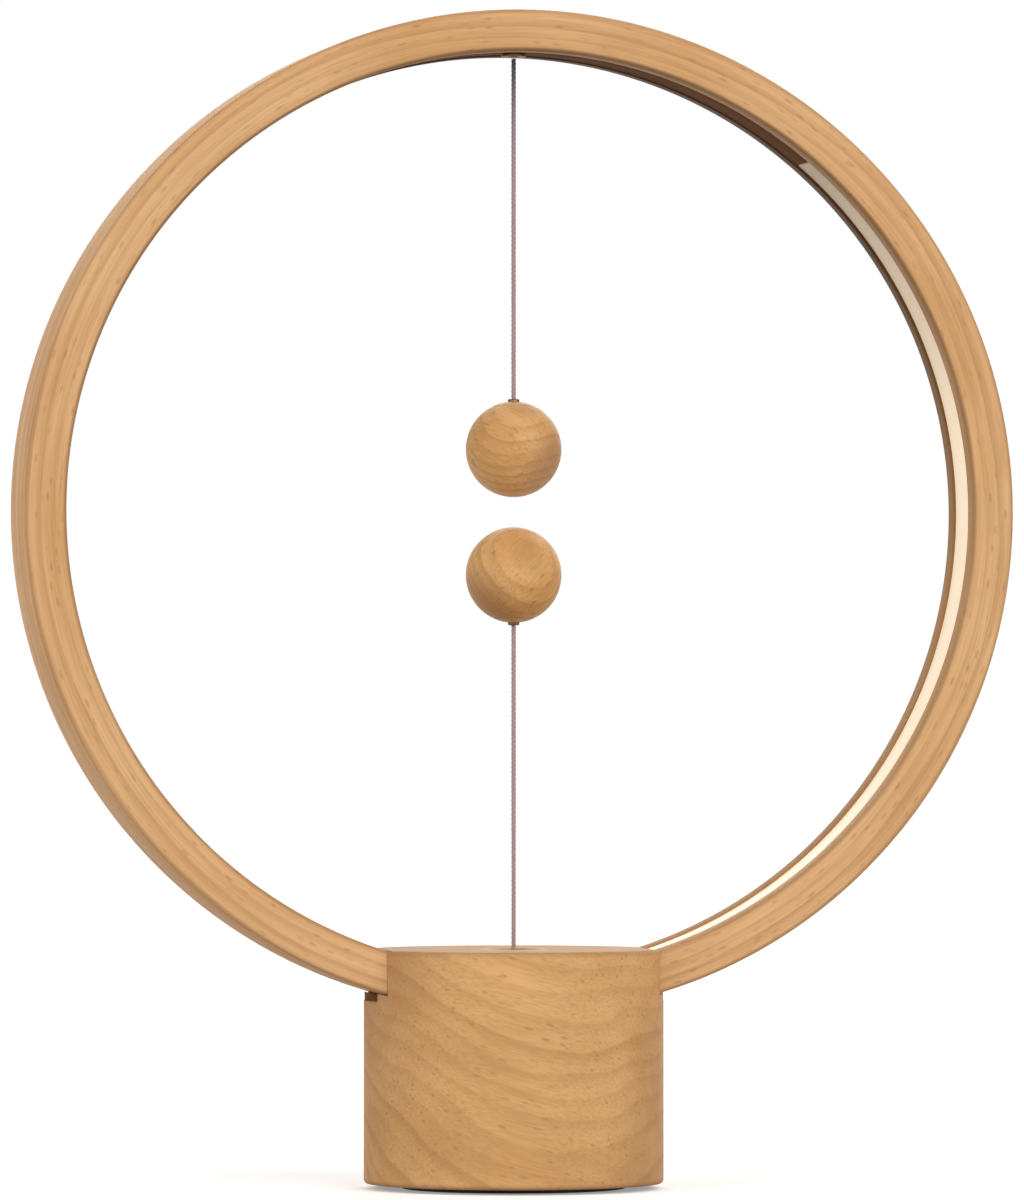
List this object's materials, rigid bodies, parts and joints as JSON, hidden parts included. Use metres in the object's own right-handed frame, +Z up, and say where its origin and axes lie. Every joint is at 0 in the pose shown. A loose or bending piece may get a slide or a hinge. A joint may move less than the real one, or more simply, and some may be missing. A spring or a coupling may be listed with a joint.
{
  "type": "magnetic balance lamp",
  "caption": "Desk lamp with a lit wooden hoop on a round wooden base and two threaded wooden balls that hold each other up by magnets and switch it.",
  "frame": {"origin": "centre of the underside of the foot, on the surface the lamp stands on", "axes": "+Z up, the hoop's plane is XZ, the front faces -Y and the supply socket faces +Y"},
  "size_m": [0.24, 0.072, 0.2823],
  "materials": {
    "hoop_wood": "oiled beech, bent",
    "base_wood": "oiled beech, turned",
    "ball_wood": "oiled beech, turned",
    "dark_wood": "oiled beech",
    "opal": "opal acrylic, satin",
    "strip": "white flexible circuit",
    "thread": "braided thread",
    "brass": "satin",
    "dark_brass": "aged",
    "steel": "zinc plated",
    "magnet": "nickel plated",
    "black_plastic": "moulded, satin",
    "white_plastic": "moulded acetal",
    "board": "green circuit board",
    "lead": "soft insulated lead",
    "rubber": "matt"
  },
  "bodies": {
    "stand": {"hoop": "hoop_wood", "anchor_block": "dark_wood", "thread_eyelet": "brass", "upper_thread_knot": "thread", "diffuser_left": "opal", "diffuser_right": "opal", "led_strip_left": "strip", "led_strip_right": "strip", "led_lead_left": "lead", "led_lead_right": "lead", "base_body": "base_wood", "hoop_screw_1": "steel", "hoop_screw_2": "steel", "hoop_screw_3": "steel", "hoop_screw_4": "steel", "thread_guide": "brass", "plunger_housing": "black_plastic", "housing_cap": "black_plastic", "housing_screw_left": "steel", "housing_screw_right": "steel", "contact_pin_front": "brass", "contact_pin_back": "brass", "switch_lead_front": "lead", "switch_lead_back": "lead", "return_spring": "steel", "bottom_cover": "black_plastic", "cover_screw_1": "steel", "cover_screw_2": "steel", "cover_screw_3": "steel", "foot_ring": "rubber", "ballast_plate": "steel", "circuit_board": "board", "board_screw_1": "steel", "board_screw_2": "steel", "board_screw_3": "steel", "driver_chip": "black_plastic", "power_coil": "black_plastic", "smoothing_capacitor": "magnet", "socket_shell": "steel", "socket_tongue": "black_plastic", "socket_bezel": "black_plastic"},
    "plunger": {"pull_plunger": "white_plastic", "contact_washer": "brass", "thread_crimp": "brass", "plunger_thread": "thread"},
    "lower_link": {"lower_thread_link": "thread"},
    "lower_ball": {"lower_thread": "thread", "lower_ball": "ball_wood", "lower_ball_magnet": "magnet", "lower_ball_plug": "ball_wood", "lower_ball_ferrule": "dark_brass"},
    "upper_link": {"upper_thread_link": "thread"},
    "upper_ball": {"upper_thread": "thread", "upper_ball": "ball_wood", "upper_ball_magnet": "magnet", "upper_ball_plug": "ball_wood", "upper_ball_ferrule": "dark_brass"}
  },
  "joints": [
    {"name": "plunger_travel", "type": "slide", "parent": "stand", "child": "plunger", "axis": [0, 0, 1], "range_m": [-0.003, 0], "stiffness_N_per_m": 20, "springref_m": 0.012, "deforming": ["return_spring"]},
    {"name": "lower_swing_sideways", "type": "hinge", "parent": "plunger", "child": "lower_link", "pos_m": [0, 0, 0.0574], "axis": [0, 1, 0], "range_deg": [-55, 55], "stiffness_Nm_per_rad": 0.03},
    {"name": "lower_swing_front_back", "type": "hinge", "parent": "lower_link", "child": "lower_ball", "pos_m": [0, 0, 0.0634], "axis": [1, 0, 0], "range_deg": [-80, 80], "stiffness_Nm_per_rad": 0.03},
    {"name": "upper_swing_sideways", "type": "hinge", "parent": "stand", "child": "upper_link", "pos_m": [0, 0, 0.2713], "axis": [0, 1, 0], "range_deg": [-55, 55]},
    {"name": "upper_swing_front_back", "type": "hinge", "parent": "upper_link", "child": "upper_ball", "pos_m": [0, 0, 0.2653], "axis": [1, 0, 0], "range_deg": [-80, 80]}
  ]
}
